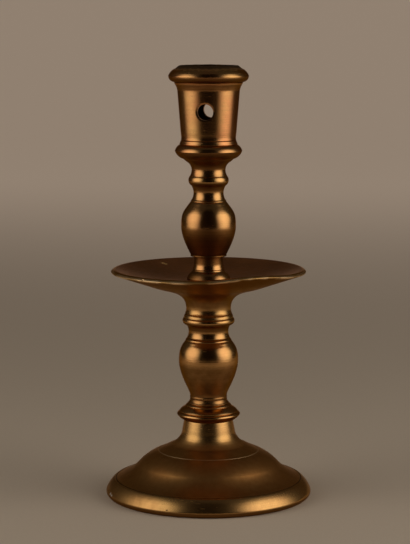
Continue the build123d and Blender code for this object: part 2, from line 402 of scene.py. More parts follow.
def close_on_axis(piece):
    """Runs the open ends of an outline in to the axis."""
    mesh = piece.data
    used = [index for edge in mesh.edges for index in edge.vertices]
    ends = np.bincount(used, minlength=len(mesh.vertices))
    points = points_of(mesh)
    for place in points[(ends == 1) & (points[:, 0] > MERGE)]:
        pick(mesh, np.linalg.norm(points_of(mesh) - place, axis=1) < MERGE)
        bpy.ops.object.mode_set(mode="EDIT")
        bpy.ops.mesh.extrude_vertices_move(TRANSFORM_OT_translate={"value": (-place[0], 0, 0)})
        bpy.ops.object.mode_set(mode="OBJECT")


def bends(points, closed):
    """Angle by which an outline turns at each of its points."""
    before = points - np.roll(points, 1, axis=0)
    after = np.roll(points, -1, axis=0) - points
    lengths = np.linalg.norm(before, axis=1) * np.linalg.norm(after, axis=1)
    angles = np.arccos(np.clip((before * after).sum(axis=1) / lengths, -1, 1))
    if not closed:
        angles[[0, -1]] = math.pi
    return angles


def seat_ends(points):
    """True at both ends of each level run of an outline, which a neighbour sits on."""
    run = np.roll(points, -1, axis=0) - points
    level = (np.abs(run[:, 2]) < MERGE) & (np.abs(run[:, 0]) > SEAT_WIDTH)
    return level | np.roll(level, 1)


def fair_outline(piece, turning):
    """Makes an outline of short straight runs a smooth curve between its corners."""
    only(piece)
    bpy.ops.object.convert(target="CURVE")
    bpy.ops.object.mode_set(mode="EDIT")
    bpy.ops.curve.select_all(action="SELECT")
    bpy.ops.curve.spline_type_set(type="BEZIER")
    bpy.ops.curve.handle_type_set(type="AUTOMATIC")
    if len(piece.data.splines) != 1:
        raise RuntimeError(f"the outline of {piece.name} is in {len(piece.data.splines)} pieces")
    spline = piece.data.splines[0]
    spline.resolution_u = turning.curve_points
    points = np.array([point.co for point in spline.bezier_points])
    sharp = (bends(points, spline.use_cyclic_u) > turning.corner) | seat_ends(points)
    for point, corner in zip(spline.bezier_points, sharp.tolist()):
        point.select_control_point = corner
        point.select_left_handle = corner
        point.select_right_handle = corner
    bpy.ops.curve.handle_type_set(type="VECTOR")
    bpy.ops.object.mode_set(mode="OBJECT")
    bpy.ops.object.convert(target="MESH")


def round_corners(piece, turning):
    """Wears the corners of an outline round."""
    mesh = piece.data
    closed = len(mesh.edges) == len(mesh.vertices)
    points = points_of(mesh)
    angles = bends(points, closed)
    if not closed:
        angles[[0, -1]] = 0
    after = np.linalg.norm(np.roll(points, -1, axis=0) - points, axis=1)
    room = np.minimum(after, np.roll(after, 1))
    pick(mesh, (angles > turning.soft_corner) & (room > CORNER_ROOM * turning.edge_round))
    bpy.ops.object.mode_set(mode="EDIT")
    bpy.ops.mesh.bevel(
        offset=turning.edge_round,
        segments=CORNER_SEGMENTS,
        affect="VERTICES",
        clamp_overlap=True,
    )
    bpy.ops.object.mode_set(mode="OBJECT")


def everywhere(radius, height):
    """Keeps a whole outline."""
    return np.ones(len(radius), bool)


def turned(node, name, turning, keep=everywhere):
    """Turns a piece from the outline of a CAD node."""
    piece = half_outline(node, name, keep)
    fair_outline(piece, turning)
    round_corners(piece, turning)
    bpy.ops.object.modifier_add(type="SCREW")
    screw = piece.modifiers[-1]
    screw.axis = "Z"
    screw.angle = FULL_TURN
    screw.steps = screw.render_steps = turning.steps
    screw.use_merge_vertices = True
    screw.merge_threshold = MERGE
    bpy.ops.object.modifier_apply(modifier=screw.name)
    bpy.ops.object.mode_set(mode="EDIT")
    bpy.ops.mesh.select_all(action="SELECT")
    bpy.ops.mesh.remove_doubles(threshold=MERGE)
    bpy.ops.mesh.normals_make_consistent(inside=False)
    bpy.ops.object.mode_set(mode="OBJECT")
    bpy.ops.object.shade_smooth()
    return piece


def threaded_end(node, name, height):
    """The plain shank and thread of a stem below a height, cut from the CAD node."""
    piece = node_copy(node, name)
    bpy.ops.mesh.bisect(
        plane_co=(0, 0, height), plane_no=(0, 0, 1), clear_outer=True, use_fill=True, threshold=CUT
    )
    bpy.ops.object.mode_set(mode="OBJECT")
    bpy.ops.object.shade_smooth_by_angle(angle=THREAD_CRISP)
    return piece


def cut(piece, cutter):
    """Takes a cutter's shape out of a piece and removes the cutter."""
    only(piece)
    bpy.ops.object.modifier_add(type="BOOLEAN")
    boolean = piece.modifiers[-1]
    boolean.operation = "DIFFERENCE"
    boolean.solver = "EXACT"
    boolean.object = cutter
    bpy.ops.object.modifier_apply(modifier=boolean.name)
    only(cutter)
    bpy.ops.object.delete()
    only(piece)


def displace(piece, name, weights, direction, amount, texture=None):
    """Moves vertices along one axis by their weights, times a texture where there is one."""
    only(piece)
    group = piece.vertex_groups.new(name=name)
    for index in np.nonzero(weights)[0].tolist():
        group.add([index], float(weights[index]), "REPLACE")
    bpy.ops.object.modifier_add(type="DISPLACE")
    push = piece.modifiers[-1]
    push.direction = direction
    push.vertex_group = name
    push.strength = amount
    push.mid_level = 0.0 if texture is None else 1.0
    if texture is not None:
        push.texture = texture
        push.texture_coords = "LOCAL"
    bpy.ops.object.modifier_apply(modifier=push.name)
    bpy.ops.object.vertex_group_remove(all=True)


class Nodes:
    """Adds nodes to one node tree and joins their sockets."""

    def __init__(self, tree):
        self.tree = tree
        tree.nodes.clear()

    def add(self, kind, inputs=None, **settings):
        """A new node with its settings made and its inputs fed."""
        node = self.tree.nodes.new(kind)
        for name, value in settings.items():
            setattr(node, name, value)
        for socket, value in (inputs or {}).items():
            self.feed(node.inputs[socket], value)
        return node

    def feed(self, socket, value):
        """Links an input to another socket, or sets its value."""
        if isinstance(value, bpy.types.NodeSocket):
            self.tree.links.new(value, socket)
        else:
            socket.default_value = value

    def math(self, operation, *values):
        """The result of one sum."""
        node = self.add("ShaderNodeMath", operation=operation)
        for socket, value in zip(node.inputs, values):
            self.feed(socket, value)
        return node.outputs[0]

    def mix(self, share, first, second):
        """A colour that goes from the first to the second by a share."""
        node = self.add("ShaderNodeMix", data_type="RGBA", clamp_factor=True)
        for socket, value in zip((0, 6, 7), (share, first, second)):
            self.feed(node.inputs[socket], value)
        return node.outputs[2]

    def step(self, value, low, high, bottom=0.0, top=1.0):
        """A soft step from bottom to top as a value goes from low to high."""
        inputs = {
            "Value": value,
            "From Min": low,
            "From Max": high,
            "To Min": bottom,
            "To Max": top,
        }
        return self.add("ShaderNodeMapRange", inputs, interpolation_type="SMOOTHSTEP").outputs[0]

    def between(self, value, inner, outer):
        """A mask that steps up at the inner limits of a value and down at the outer ones."""
        return self.math("MULTIPLY", self.step(value, *inner), self.step(value, *outer))

    def noise(self, vector, scale, detail=2.0, roughness=0.5):
        """Soft noise, with its scale in waves a metre."""
        inputs = {"Vector": vector, "Scale": scale, "Detail": detail, "Roughness": roughness}
        return self.add("ShaderNodeTexNoise", inputs).outputs["Fac"]

    def place(self):
        """Where a point of the surface lies."""
        return self.add("ShaderNodeTexCoord").outputs["Object"]

    def radius(self, place):
        """How far a place lies from the turning axis."""
        flat = self.add("ShaderNodeVectorMath", {0: place, 1: (1, 1, 0)}, operation="MULTIPLY")
        away = self.add("ShaderNodeVectorMath", {0: flat.outputs[0]}, operation="LENGTH")
        return away.outputs["Value"]

    def height(self, place):
        """How high a place lies."""
        return self.add("ShaderNodeSeparateXYZ", {0: place}).outputs["Z"]

    def spots(self, place, spots):
        """Ragged spots, each with a middle and a radius."""
        ragged = self.noise(place, 1400.0, detail=3.0, roughness=0.6)
        ragged = self.step(ragged, 0.2, 0.8, -0.5, 0.5)
        mask = 0.0
        for middle, radius in spots:
            away = self.add("ShaderNodeVectorMath", {0: place, 1: middle}, operation="DISTANCE")
            away = self.math("MULTIPLY_ADD", ragged, radius, away.outputs["Value"])
            mask = self.math("MAXIMUM", mask, self.step(away, radius, radius * 0.6))
        return mask

    def group(self, tree, **inputs):
        """The outputs of a node group with its inputs fed."""
        node = self.add("ShaderNodeGroup", node_tree=tree)
        for name, value in inputs.items():
            self.feed(node.inputs[name], value)
        return node.outputs


def rgba(colour):
    """A colour with full opacity."""
    return (*colour, 1.0)


def new_group(name, inputs, outputs):
    """An empty node group with plain number sockets."""
    tree = bpy.data.node_groups.new(name, "ShaderNodeTree")
    for socket, default in inputs.items():
        made = tree.interface.new_socket(socket, in_out="INPUT", socket_type="NodeSocketFloat")
        made.default_value = default
    for socket in outputs:
        tree.interface.new_socket(socket, in_out="OUTPUT", socket_type="NodeSocketFloat")
    nodes = Nodes(tree)
    entry = nodes.add("NodeGroupInput").outputs
    leave = nodes.add("NodeGroupOutput")
    return nodes, entry, leave, nodes.place()


def made_once(build):
    """Builds a node group at its first use, named like its function, and then hands it out."""

    @functools.wraps(build)
    def group():
        name = build.__name__
        if name not in bpy.data.node_groups:
            build(name)
        return bpy.data.node_groups[name]

    return group


@made_once
def turning_marks(name):
    """Fine rings left by the lathe, which follow the radius and the height."""
    nodes, entry, leave, place = new_group(name, {"Spacing": 0.0006}, ["Lines"])
    across = {"X": nodes.radius(place), "Z": nodes.height(place)}
    ring = nodes.add("ShaderNodeCombineXYZ", across).outputs[0]
    scale = nodes.math("DIVIDE", 1.0, entry["Spacing"])
    lines = nodes.noise(ring, scale, detail=3.0, roughness=0.6)
    nodes.feed(leave.inputs["Lines"], nodes.step(lines, 0.3, 0.7))


@made_once
def tarnish_clouds(name):
    """Broad clouds of tarnish and a finer mottle."""
    nodes, entry, leave, place = new_group(name, {"Size": 0.02}, ["Cloud", "Mottle"])
    scale = nodes.math("DIVIDE", 1.0, entry["Size"])
    cloud = nodes.noise(place, scale, detail=4.0, roughness=0.55)
    fine = nodes.noise(place, nodes.math("MULTIPLY", scale, 9.0), detail=5.0, roughness=0.65)
    nodes.feed(leave.inputs["Cloud"], nodes.step(cloud, 0.3, 0.7))
    nodes.feed(leave.inputs["Mottle"], nodes.step(fine, 0.25, 0.75))


@made_once
def fine_scratches(name):
    """Short fine scratches in three directions."""
    nodes, entry, leave, place = new_group(name, {"Length": 0.012, "Amount": 0.5}, ["Mask"])
    scale = nodes.math("DIVIDE", 1.0, entry["Length"])
    limit = nodes.math("SUBTRACT", 0.80, nodes.math("MULTIPLY", entry["Amount"], 0.12))
    mask = None
    for turn in ((0.4, 0.9, 0.2), (1.3, 0.2, 2.1), (2.4, 1.5, 0.8)):
        laid = nodes.add(
            "ShaderNodeMapping", {"Vector": place, "Rotation": turn, "Scale": (1, 22, 22)}
        ).outputs[0]
        streak = nodes.noise(laid, scale, detail=1.0)
        line = nodes.step(streak, limit, nodes.math("ADD", limit, 0.03))
        mask = line if mask is None else nodes.math("MAXIMUM", mask, line)
    nodes.feed(leave.inputs["Mask"], mask)


@made_once
def grime(name):
    """Dark dirt and painted shade where the grime-and-shade share and a patchy noise add up."""
    nodes, entry, leave, place = new_group(name, {"GrimeAndShade": 0.0, "Patches": 0.5}, ["Mask"])
    patch = nodes.noise(place, 260.0, detail=4.0, roughness=0.6)
    uneven = nodes.math("MULTIPLY", nodes.math("SUBTRACT", patch, 0.5), entry["Patches"])
    dirt_and_shade = nodes.math("ADD", entry["GrimeAndShade"], uneven)
    nodes.feed(leave.inputs["Mask"], nodes.step(dirt_and_shade, 0.25, 0.9))


def new_material(name):
    """A material with an empty node tree, and its nodes."""
    material = bpy.data.materials.new(name)
    material.use_nodes = True
    nodes = Nodes(material.node_tree)
    return material, nodes


def surface(nodes, base, roughness, metallic, height=None, relief=0.0, tint=EDGE_TINT):
    """Ends a material in its shader, with a bump where there is a height."""
    shader = nodes.add("ShaderNodeBsdfPrincipled", {"Base Color": base, "Roughness": roughness})
    nodes.feed(shader.inputs["Metallic"], metallic)
    nodes.feed(shader.inputs["Specular Tint"], tint)
    if height is not None:
        bump = nodes.add(
            "ShaderNodeBump", {"Strength": 1.0, "Distance": relief, "Height": height}
        ).outputs[0]
        nodes.feed(shader.inputs["Normal"], bump)
    nodes.add("ShaderNodeOutputMaterial", {"Surface": shader.outputs[0]})


def brass_finish(nodes, brass, rose_share, tarnish_share, dullness):
    """Colour, roughness and height of polished brass, with its tarnish, grime, painted shade and
    scratches.
    """
    clouds = nodes.group(tarnish_clouds(), Size=0.022)
    lines = nodes.group(turning_marks(), Spacing=0.0007)["Lines"]
    scratches = nodes.group(fine_scratches(), Length=0.012, Amount=0.45)["Mask"]
    grime_and_shade = nodes.add("ShaderNodeAttribute", attribute_name="grime_and_shade").outputs["Fac"]
    dirt_and_shade = nodes.group(grime(), GrimeAndShade=grime_and_shade, Patches=0.35)["Mask"]
    tinge = nodes.math("MULTIPLY_ADD", clouds["Cloud"], rose_share * 1.2, rose_share * 0.4)
    base = nodes.mix(tinge, rgba(brass.gold), rgba(brass.rose))
    stain_and_shade = nodes.math("MULTIPLY", clouds["Mottle"], tarnish_share)
    # Painted shade from the vertex attribute joins the tarnish here and is mixed in with the
    # tarnish colour.
    stain_and_shade = nodes.math("MAXIMUM", stain_and_shade, nodes.math("MULTIPLY", dirt_and_shade, 0.85))
    stain_and_shade = nodes.math("ADD", stain_and_shade, nodes.math("MULTIPLY", lines, 0.08))
    base = nodes.mix(stain_and_shade, base, rgba(brass.tarnish))
    rough = nodes.math("MULTIPLY_ADD", stain_and_shade, 0.16, brass.polish + dullness)
    rough = nodes.math("MULTIPLY_ADD", dirt_and_shade, 0.07, rough)
    rough = nodes.math("MULTIPLY_ADD", scratches, 0.12, rough)
    height = nodes.math("MULTIPLY_ADD", lines, 0.5, nodes.math("MULTIPLY", scratches, -0.5))
    return base, rough, height


def aged_brass(name, brass, rose_share, tarnish_share, dullness=0.0):
    """Polished brass that has aged."""
    material, nodes = new_material(name)
    base, rough, height = brass_finish(nodes, brass, rose_share, tarnish_share, dullness)
    surface(nodes, base, rough, 1.0, height, BRASS_RELIEF)
    return material


def bare_brass(name, brass):
    """Brass worn pale and bare in patches, as on the pan's rim."""
    material, nodes = new_material(name)
    base, rough, height = brass_finish(
        nodes, brass, rose_share=0.1, tarnish_share=0.08, dullness=0.16
    )
    worn = nodes.step(nodes.noise(nodes.place(), 110.0, detail=3.0), 0.35, 0.6)
    base = nodes.mix(worn, base, rgba(brass.bare))
    surface(nodes, base, rough, 1.0, height, BRASS_RELIEF)
    return material


def sooty_brass(name, brass):
    """Aged brass that is burnt at the mouth."""
    material, nodes = new_material(name)
    base, rough, height = brass_finish(
        nodes, brass, rose_share=0.75, tarnish_share=0.12, dullness=0.02
    )
    place = nodes.place()
    ragged = nodes.noise(place, 420.0, detail=4.0, roughness=0.65)
    ragged = nodes.math("MULTIPLY_ADD", ragged, SOOT_RAGGED, nodes.height(place))
    burnt = nodes.step(ragged, SOOT_FROM, SOOT_FROM + SOOT_FADE)
    base = nodes.mix(nodes.math("MULTIPLY", burnt, 0.93), base, rgba(brass.soot))
    rough = nodes.math("MULTIPLY_ADD", burnt, 0.35, rough)
    metallic = nodes.math("MULTIPLY_ADD", burnt, -0.6, 1.0)
    surface(nodes, base, rough, metallic, height, BRASS_RELIEF)
    return material


def foot_brass(name, brass):
    """Aged brass with a brown film on the dome, a painted highlight on the upper ring and a dirty
    lower one.
    """
    material, nodes = new_material(name)
    base, rough, height = brass_finish(
        nodes, brass, rose_share=0.25, tarnish_share=0.14, dullness=0.07
    )
    place = nodes.place()
    radius = nodes.radius(place)
    patches = nodes.group(tarnish_clouds(), Size=0.03)
    film = nodes.between(radius, FILM_INNER, FILM_OUTER)
    brown = nodes.math("MULTIPLY", patches["Cloud"], 0.6)
    brown = nodes.math("MULTIPLY_ADD", patches["Mottle"], 0.45, brown)
    brown = nodes.mix(brown, rgba(brass.amber), rgba(brass.umber))
    base = nodes.mix(nodes.math("MULTIPLY", film, 0.9), base, brown)
    cloudy = nodes.math("MULTIPLY_ADD", patches["Cloud"], 0.1, 0.07)
    rough = nodes.math("MULTIPLY_ADD", film, cloudy, rough)
    # A pale band on the upper ring is a painted highlight.
    worn = nodes.between(radius, HIGHLIGHT_RING_INNER, HIGHLIGHT_RING_OUTER)
    base = nodes.mix(nodes.math("MULTIPLY", worn, 0.6), base, rgba(brass.bare))
    dirty = nodes.between(radius, GROOVE_INNER, GROOVE_OUTER)
    dirty = nodes.math("MAXIMUM", dirty, nodes.spots(place, FOOT_PITS))
    base = nodes.mix(dirty, base, rgba(brass.soot))
    pale = nodes.spots(place, FOOT_CHIPS)
    base = nodes.mix(pale, base, rgba(brass.lime))
    rough = nodes.math("MULTIPLY_ADD", pale, 0.5, rough)
    surface(nodes, base, rough, nodes.math("SUBTRACT", 1.0, pale), height, BRASS_RELIEF, FOOT_TINT)
    return material


def dark_brass(name, brass, marks=()):
    """Brass left dull and brown, as in the dish, with a few bare marks."""
    material, nodes = new_material(name)
    clouds = nodes.group(tarnish_clouds(), Size=0.03)
    lines = nodes.group(turning_marks(), Spacing=0.0011)["Lines"]
    scratches = nodes.group(fine_scratches(), Length=0.016, Amount=0.6)["Mask"]
    worn = nodes.math("MULTIPLY_ADD", clouds["Cloud"], 0.3, 0.55)
    worn = nodes.math("MULTIPLY_ADD", lines, 0.12, worn)
    base = nodes.mix(worn, rgba(brass.tarnish), rgba(brass.rose))
    base = nodes.mix(nodes.math("MULTIPLY", scratches, 0.5), base, rgba(brass.gold))
    rough = nodes.math("MULTIPLY_ADD", clouds["Mottle"], 0.12, 0.34)
    metallic = 1.0
    if marks:
        bare = nodes.spots(nodes.place(), marks)
        base = nodes.mix(bare, base, rgba(brass.gold))
        rough = nodes.math("MULTIPLY_ADD", bare, 0.15, rough)
        metallic = nodes.math("MULTIPLY_ADD", bare, -0.5, 1.0)
    height = nodes.math("MULTIPLY_ADD", clouds["Mottle"], 0.4, lines)
    surface(nodes, base, rough, metallic, height, DISH_RELIEF, DISH_TINT)
    return material


def cast_brass(name, brass):
    """The rough, unpolished skin of a casting."""
    material, nodes = new_material(name)
    clouds = nodes.group(tarnish_clouds(), Size=0.018)
    place = nodes.place()
    grains = nodes.noise(place, 1500.0, detail=4.0, roughness=0.65)
    pits = nodes.step(nodes.noise(place, 520.0), 0.34, 0.46)
    base = nodes.mix(clouds["Cloud"], rgba(brass.tarnish), rgba(brass.rose))
    base = nodes.mix(nodes.step(pits, 1.0, 0.0), base, rgba(brass.soot))
    rough = nodes.math("MULTIPLY_ADD", clouds["Mottle"], 0.2, 0.5)
    height = nodes.math("MULTIPLY_ADD", pits, 2.0, grains)
    surface(nodes, base, rough, 0.9, height, CAST_RELIEF)
    return material


def sooty_bore(name, brass):
    """The burnt inside of the socket."""
    material, nodes = new_material(name)
    clouds = nodes.group(tarnish_clouds(), Size=0.012)
    bare = nodes.math("MULTIPLY", clouds["Cloud"], 0.4)
    base = nodes.mix(bare, rgba(brass.soot), rgba(brass.tarnish))
    rough = nodes.math("MULTIPLY_ADD", clouds["Mottle"], 0.25, 0.5)
    surface(nodes, base, rough, 0.7, clouds["Mottle"], BORE_RELIEF)
    return material


def dark_iron(name, brass):
    """Dark forged iron with a little rust."""
    material, nodes = new_material(name)
    clouds = nodes.group(tarnish_clouds(), Size=0.009)
    scratches = nodes.group(fine_scratches(), Length=0.006, Amount=0.7)["Mask"]
    base = nodes.mix(clouds["Cloud"], rgba(brass.iron), rgba(brass.rust))
    rough = nodes.math("MULTIPLY_ADD", clouds["Mottle"], 0.25, 0.38)
    rough = nodes.math("MULTIPLY_ADD", scratches, -0.1, rough)
    metallic = nodes.math("MULTIPLY_ADD", clouds["Cloud"], -0.6, 1.0)
    height = nodes.math("SUBTRACT", clouds["Mottle"], scratches)
    surface(nodes, base, rough, metallic, height, IRON_RELIEF)
    return material


def mark_recesses(piece, bands):
    """Keeps on each vertex its share of grime and painted shade, from recesses, undersides and
    bands; the undersides get painted shade.
    """
    points = points_of(piece.data)
    heights = points[:, 2]
    radius = np.hypot(points[:, 0], points[:, 1])
    rows = np.round(heights / ROW_HEIGHT).astype(int)
    rows -= rows.min()
    outer = np.zeros(rows.max() + 1)
    np.maximum.at(outer, rows, radius)
    every = np.arange(len(outer))
    known = outer > 0
    outer = np.interp(every, every[known], outer[known])
    span = int(3 * RECESS_REACH / ROW_HEIGHT)
    kernel = np.exp(-0.5 * (np.arange(-span, span + 1) * ROW_HEIGHT / RECESS_REACH) ** 2)
    mean = np.convolve(np.pad(outer, span, mode="edge"), kernel / kernel.sum(), mode="valid")
    grime_and_shade = np.clip((mean[rows] - radius) / RECESS_DEPTH, 0, 1)
    normals = np.empty(len(points) * 3)
    piece.data.vertex_normals.foreach_get("vector", normals)
    # Faces that look down get painted shade.
    under = np.clip(-normals[2::3] - UNDERSIDE_FROM, 0, 1) * UNDERSIDE_SHADE
    grime_and_shade = np.clip(grime_and_shade + under, 0, 1)
    for bottom, top, edge, amount, side in bands:
        inside = np.clip(np.minimum(heights - bottom, top - heights) / edge + 0.5, 0, 1)
        towards = points[:, :2] @ np.array(side) / np.maximum(radius, MERGE)
        inside *= np.clip(towards, 0, 1) if any(side) else 1
        grime_and_shade += inside * (amount - grime_and_shade)
    grime_and_shade[radius < outer[rows] - INNER_WALL] = 0
    attribute = piece.data.attributes.new("grime_and_shade", "FLOAT", "POINT")
    attribute.data.foreach_set("value", grime_and_shade.astype(np.float32))


def dress(piece, materials, choose=None):
    """Gives a piece its materials, and each face the one that choose(centre, normal) numbers."""
    for material in materials:
        piece.data.materials.append(material)
    if choose is not None:
        for face in piece.data.polygons:
            face.material_index = choose(face.center, face.normal)


def outward(centre, normal):
    """How far a face looks away from the axis."""
    return normal.x * centre.x + normal.y * centre.y


def settle(piece, body, node):
    """Rides a piece on its body in place of its CAD node."""
    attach(piece, body)
    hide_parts(node)


class CANDLESTICK_OT_foot(bpy.types.Operator):
    """Turn the hollow domed foot"""

    bl_idname = "candlestick.foot"
    bl_label = "Foot"

    def execute(self, context):
        scene = context.scene
        piece = turned("foot", "foot_turned", scene.candlestick_turning)
        mark_recesses(piece, FOOT_BANDS)
        outside = foot_brass("foot_brass", scene.candlestick_brass)
        inside = cast_brass("foot_cast_brass", scene.candlestick_brass)
        dress(piece, [outside, inside], self.finish)
        settle(piece, "base", "foot")
        return {"FINISHED"}

    def finish(self, centre, normal):
        """Rough cast inside and underneath, turned outside."""
        inside = outward(centre, normal) < 0 and normal.z < CAST_UP
        return int(inside or normal.z < CAST_DOWN)


class CANDLESTICK_OT_lower_stem(bpy.types.Operator):
    """Turn the lower stem and keep its threaded tail"""

    bl_idname = "candlestick.lower_stem"
    bl_label = "Lower stem"

    def execute(self, context):
        scene = context.scene
        turning = scene.candlestick_turning
        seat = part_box("foot")[1][2]
        piece = turned(
            "lower_stem",
            "lower_stem_turned",
            turning,
            lambda r, z: (r > turning.core_r) & (z > seat - MERGE),
        )
        mark_recesses(piece, LOWER_BANDS)
        tail = threaded_end("lower_stem", "lower_stem_tail", seat)
        brass = aged_brass(
            "lower_stem_brass", scene.candlestick_brass, rose_share=0.4, tarnish_share=0.12
        )
        dull = dark_brass("tail_brass", scene.candlestick_brass)
        for made, material in ((piece, brass), (tail, dull)):
            dress(made, [material])
            settle(made, "base", "lower_stem")
        return {"FINISHED"}


class CANDLESTICK_OT_drip_pan(bpy.types.Operator):
    """Turn the wide drip pan with its trumpet hub"""

    bl_idname = "candlestick.drip_pan"
    bl_label = "Drip pan"

    def execute(self, context):
        scene = context.scene
        piece = turned("drip_pan", "drip_pan_turned", scene.candlestick_turning)
        mark_recesses(piece, PAN_BANDS)
        self.bend_rim(piece)
        middle, radius = PAN_NICK
        bpy.ops.mesh.primitive_ico_sphere_add(subdivisions=4, radius=radius, location=middle)
        cut(piece, bpy.context.object)
        bpy.ops.object.shade_smooth_by_angle(angle=CUT_CRISP)
        under = aged_brass(
            "pan_brass",
            scene.candlestick_brass,
            rose_share=0.3,
            tarnish_share=0.16,
            dullness=0.05,
        )
        dish = dark_brass("dish_brass", scene.candlestick_brass, DISH_MARKS)
        rim = bare_brass("pan_rim_brass", scene.candlestick_brass)
        dress(piece, [under, dish, rim], self.finish)
        settle(piece, "pan", "drip_pan")
        return {"FINISHED"}

    def bend_rim(self, piece):
        """Lifts one side of the rim a little, as an old knock leaves it."""
        points = points_of(piece.data)
        radius = np.hypot(points[:, 0], points[:, 1])
        out = np.clip((radius - BEND_FROM_R) / (PAN_RIM_R - BEND_FROM_R), 0, None) ** 2
        away = np.arctan2(points[:, 0], -points[:, 1]) - BEND_TOWARDS
        weights = np.clip(out * np.exp(-((away / BEND_WIDTH) ** 2)), 0, 1)
        displace(piece, "bent_rim", weights * (weights > BEND_LEAST), "Z", BEND_RISE)

    def finish(self, centre, normal):
        """Bright on the rim, dull in the dish, polished underneath."""
        if math.hypot(centre.x, centre.y) > PAN_RIM_R and centre.z > PAN_RIM_Z:
            return 2
        return int(outward(centre, normal) < DISH_OUTWARD and normal.z > DISH_UP)


class CANDLESTICK_OT_upper_stem(bpy.types.Operator):
    """Turn the upper stem and keep its threaded tang"""

    bl_idname = "candlestick.upper_stem"
    bl_label = "Upper stem"

    def execute(self, context):
        scene = context.scene
        turning = scene.candlestick_turning
        piece = turned(
            "upper_stem",
            "upper_stem_turned",
            turning,
            lambda r, z: z > turning.collar_seat - MERGE,
        )
        mark_recesses(piece, UPPER_BANDS)
        tang = threaded_end("upper_stem", "upper_stem_tang", turning.collar_seat)
        brass = aged_brass(
            "upper_stem_brass", scene.candlestick_brass, rose_share=0.5, tarnish_share=0.12
        )
        dull = dark_brass("tang_brass", scene.candlestick_brass)
        for made, material in ((piece, brass), (tang, dull)):
            dress(made, [material])
            settle(made, "upper", "upper_stem")
        return {"FINISHED"}


class CANDLESTICK_OT_socket(bpy.types.Operator):
    """Turn the candle socket and drill its two extraction holes"""

    bl_idname = "candlestick.socket"
    bl_label = "Candle socket"

    def execute(self, context):
        scene = context.scene
        piece = turned("candle_socket", "candle_socket_turned", scene.candlestick_turning)
        mark_recesses(piece, SOCKET_BANDS)
        self.drill(piece)
        self.wear_lip(piece)
        outside = sooty_brass("socket_brass", scene.candlestick_brass)
        bore = sooty_bore("socket_bore", scene.candlestick_brass)
        dress(piece, [outside, bore], self.finish)
        settle(piece, "upper", "candle_socket")
        return {"FINISHED"}

    def drill(self, piece):
        """Drills the hole through both walls and wears its outer edges round."""
        hole_z = (HOLE_BOX[0][2] + HOLE_BOX[1][2]) / 2
        reach = HOLE_R + HOLE_WEAR
        bpy.ops.object.mode_set(mode="EDIT")
        for height in np.arange(hole_z - reach, hole_z + reach, HOLE_WEAR / 3):
            bpy.ops.mesh.select_all(action="SELECT")
            bpy.ops.mesh.bisect(plane_co=(0, 0, height), plane_no=(0, 0, 1), threshold=CUT)
        bpy.ops.object.mode_set(mode="OBJECT")
        bpy.ops.mesh.primitive_cylinder_add(
            vertices=HOLE_FACES,
            radius=HOLE_R,
            depth=4 * CUP_R,
            location=(0, 0, hole_z),
            rotation=(math.pi / 2, 0, 0),
        )
        cut(piece, bpy.context.object)
        points = points_of(piece.data)
        away = np.hypot(points[:, 0], points[:, 2] - hole_z) - HOLE_R
        outside = np.hypot(points[:, 0], points[:, 1]) > CUP_R
        worn = np.clip(1 - away / HOLE_WEAR, 0, 1) ** 2 * outside
        for side, name in ((-1, "front_hole"), (1, "back_hole")):
            displace(piece, name, worn * (points[:, 1] * side > 0), "Y", -side * HOLE_SINK)
        bpy.ops.object.shade_smooth_by_angle(angle=CUT_CRISP)

    def wear_lip(self, piece):
        """Wears the top of the lip slightly uneven."""
        points = points_of(piece.data)
        top = points[:, 2].max()
        weights = np.clip((points[:, 2] - top) / LIP_WEAR + 1, 0, 1)
        dents = bpy.data.textures.new("lip_dents", "CLOUDS")
        dents.noise_scale = LIP_DENT
        displace(piece, "lip", weights, "Z", LIP_SINK, dents)

    def finish(self, centre, normal):
        """Burnt in the bore, aged outside."""
        within = math.hypot(centre.x, centre.y) < BORE_EDGE_R
        return int(within and outward(centre, normal) < BORE_OUTWARD)


class CANDLESTICK_OT_fixings(bpy.types.Operator):
    """Finish the nut and the washer under the foot"""

    bl_idname = "candlestick.fixings"
    bl_label = "Nut and washer"

    def execute(self, context):
        iron = dark_iron("fixing_iron", context.scene.candlestick_brass)
        for node in ("foot_washer", "foot_nut"):
            for slot in frame["nodes"][node].material_slots:
                slot.material = iron
        return {"FINISHED"}


